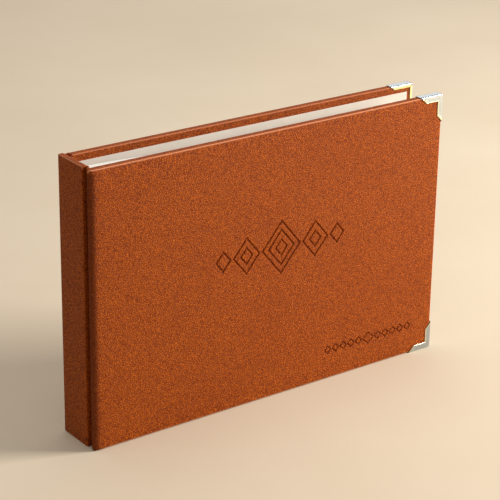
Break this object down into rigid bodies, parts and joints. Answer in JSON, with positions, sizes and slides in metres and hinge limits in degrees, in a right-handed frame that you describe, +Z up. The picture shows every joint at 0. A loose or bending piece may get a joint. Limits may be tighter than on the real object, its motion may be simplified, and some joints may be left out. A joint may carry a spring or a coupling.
{
  "type": "guest book",
  "caption": "Landscape leather-covered hardcover guest book with padded covers, stiff card leaves and gilt metal corners, standing closed on its tail edge.",
  "frame": {"origin": "middle of the closed book's footprint, on the surface it stands on", "axes": "+X from the spine to the fore-edge, -Y the way the front cover faces, +Z up from tail to head"},
  "size_m": [0.275, 0.037, 0.185],
  "materials": {
    "leather": "pebbled tan leather, satin",
    "grey_board": "matt",
    "padding": "soft foam sheet",
    "lining_paper": "matt off-white",
    "leaf_card": "matt white card",
    "mull": "open-weave cotton",
    "gilt_metal": "polished pale gold"
  },
  "bodies": {
    "spine": {"spine_board": "grey_board", "spine_leather": "leather", "spine_liner": "lining_paper", "spine_cloth": "mull", "page_stubs": "leaf_card", "leaf_creases": "leaf_card", "front_joint_leather": "leather", "back_joint_leather": "leather"},
    "front_cover": {"front_board": "grey_board", "front_padding": "padding", "front_leather": "leather", "front_pastedown": "lining_paper", "front_corner_top": "gilt_metal", "front_corner_tail": "gilt_metal"},
    "back_cover": {"back_board": "grey_board", "back_padding": "padding", "back_leather": "leather", "back_pastedown": "lining_paper", "back_corner_top": "gilt_metal", "back_corner_tail": "gilt_metal"},
    "leaf_01": {"leaf_01": "leaf_card"},
    "leaf_02": {"leaf_02": "leaf_card"},
    "leaf_03": {"leaf_03": "leaf_card"},
    "leaf_04": {"leaf_04": "leaf_card"},
    "leaf_05": {"leaf_05": "leaf_card"},
    "leaf_06": {"leaf_06": "leaf_card"},
    "leaf_07": {"leaf_07": "leaf_card"},
    "leaf_08": {"leaf_08": "leaf_card"},
    "leaf_09": {"leaf_09": "leaf_card"},
    "leaf_10": {"leaf_10": "leaf_card"},
    "leaf_11": {"leaf_11": "leaf_card"},
    "leaf_12": {"leaf_12": "leaf_card"},
    "leaf_13": {"leaf_13": "leaf_card"},
    "leaf_14": {"leaf_14": "leaf_card"},
    "leaf_15": {"leaf_15": "leaf_card"},
    "leaf_16": {"leaf_16": "leaf_card"}
  },
  "joints": [
    {"name": "front_cover_hinge", "type": "hinge", "parent": "spine", "child": "front_cover", "pos_m": [-0.1373, -0.01135, 0.0925], "axis": [0, 0, -1], "range_deg": [0, 175], "deforming": ["front_joint_leather", "leaf_creases"]},
    {"name": "back_cover_hinge", "type": "hinge", "parent": "spine", "child": "back_cover", "pos_m": [-0.13225, 0.01825, 0.0925], "axis": [0, 0, 1], "range_deg": [0, 175], "deforming": ["back_joint_leather"]},
    {"name": "leaf_01_hinge", "type": "hinge", "parent": "spine", "child": "leaf_01", "pos_m": [-0.1304, -0.00895, 0.0925], "axis": [0, 0, -1], "range_deg": [0, 126]},
    {"name": "leaf_02_hinge", "type": "hinge", "parent": "spine", "child": "leaf_02", "pos_m": [-0.1304, -0.00815, 0.0925], "axis": [0, 0, -1], "range_deg": [0, 118.4]},
    {"name": "leaf_03_hinge", "type": "hinge", "parent": "spine", "child": "leaf_03", "pos_m": [-0.1304, -0.00735, 0.0925], "axis": [0, 0, -1], "range_deg": [0, 110.8]},
    {"name": "leaf_04_hinge", "type": "hinge", "parent": "spine", "child": "leaf_04", "pos_m": [-0.1304, -0.00655, 0.0925], "axis": [0, 0, -1], "range_deg": [0, 103.2]},
    {"name": "leaf_05_hinge", "type": "hinge", "parent": "spine", "child": "leaf_05", "pos_m": [-0.1304, -0.00575, 0.0925], "axis": [0, 0, -1], "range_deg": [0, 95.6]},
    {"name": "leaf_06_hinge", "type": "hinge", "parent": "spine", "child": "leaf_06", "pos_m": [-0.1304, -0.00495, 0.0925], "axis": [0, 0, -1], "range_deg": [0, 88]},
    {"name": "leaf_07_hinge", "type": "hinge", "parent": "spine", "child": "leaf_07", "pos_m": [-0.1304, -0.00415, 0.0925], "axis": [0, 0, -1], "range_deg": [0, 80.4]},
    {"name": "leaf_08_hinge", "type": "hinge", "parent": "spine", "child": "leaf_08", "pos_m": [-0.1304, -0.00335, 0.0925], "axis": [0, 0, -1], "range_deg": [0, 72.8]},
    {"name": "leaf_09_hinge", "type": "hinge", "parent": "spine", "child": "leaf_09", "pos_m": [-0.1304, -0.00255, 0.0925], "axis": [0, 0, -1], "range_deg": [0, 65.2]},
    {"name": "leaf_10_hinge", "type": "hinge", "parent": "spine", "child": "leaf_10", "pos_m": [-0.1304, -0.00175, 0.0925], "axis": [0, 0, -1], "range_deg": [0, 57.6]},
    {"name": "leaf_11_hinge", "type": "hinge", "parent": "spine", "child": "leaf_11", "pos_m": [-0.1304, -0.00095, 0.0925], "axis": [0, 0, -1], "range_deg": [0, 50]},
    {"name": "leaf_12_hinge", "type": "hinge", "parent": "spine", "child": "leaf_12", "pos_m": [-0.1304, -0.00015, 0.0925], "axis": [0, 0, -1], "range_deg": [0, 42.4]},
    {"name": "leaf_13_hinge", "type": "hinge", "parent": "spine", "child": "leaf_13", "pos_m": [-0.1304, 0.00065, 0.0925], "axis": [0, 0, -1], "range_deg": [0, 34.8]},
    {"name": "leaf_14_hinge", "type": "hinge", "parent": "spine", "child": "leaf_14", "pos_m": [-0.1304, 0.00145, 0.0925], "axis": [0, 0, -1], "range_deg": [0, 27.2]},
    {"name": "leaf_15_hinge", "type": "hinge", "parent": "spine", "child": "leaf_15", "pos_m": [-0.1304, 0.00225, 0.0925], "axis": [0, 0, -1], "range_deg": [0, 19.6]},
    {"name": "leaf_16_hinge", "type": "hinge", "parent": "spine", "child": "leaf_16", "pos_m": [-0.1304, 0.00305, 0.0925], "axis": [0, 0, -1], "range_deg": [0, 12]}
  ],
  "couplings": [
    {"joint": "leaf_01_hinge", "follows": "front_cover_hinge", "ratio": 0.72},
    {"joint": "leaf_02_hinge", "follows": "front_cover_hinge", "ratio": 0.67657},
    {"joint": "leaf_03_hinge", "follows": "front_cover_hinge", "ratio": 0.63314},
    {"joint": "leaf_04_hinge", "follows": "front_cover_hinge", "ratio": 0.58971},
    {"joint": "leaf_05_hinge", "follows": "front_cover_hinge", "ratio": 0.54629},
    {"joint": "leaf_06_hinge", "follows": "front_cover_hinge", "ratio": 0.50286},
    {"joint": "leaf_07_hinge", "follows": "front_cover_hinge", "ratio": 0.45943},
    {"joint": "leaf_08_hinge", "follows": "front_cover_hinge", "ratio": 0.416},
    {"joint": "leaf_09_hinge", "follows": "front_cover_hinge", "ratio": 0.37257},
    {"joint": "leaf_10_hinge", "follows": "front_cover_hinge", "ratio": 0.32914},
    {"joint": "leaf_11_hinge", "follows": "front_cover_hinge", "ratio": 0.28571},
    {"joint": "leaf_12_hinge", "follows": "front_cover_hinge", "ratio": 0.24229},
    {"joint": "leaf_13_hinge", "follows": "front_cover_hinge", "ratio": 0.19886},
    {"joint": "leaf_14_hinge", "follows": "front_cover_hinge", "ratio": 0.15543},
    {"joint": "leaf_15_hinge", "follows": "front_cover_hinge", "ratio": 0.112},
    {"joint": "leaf_16_hinge", "follows": "front_cover_hinge", "ratio": 0.068571}
  ]
}
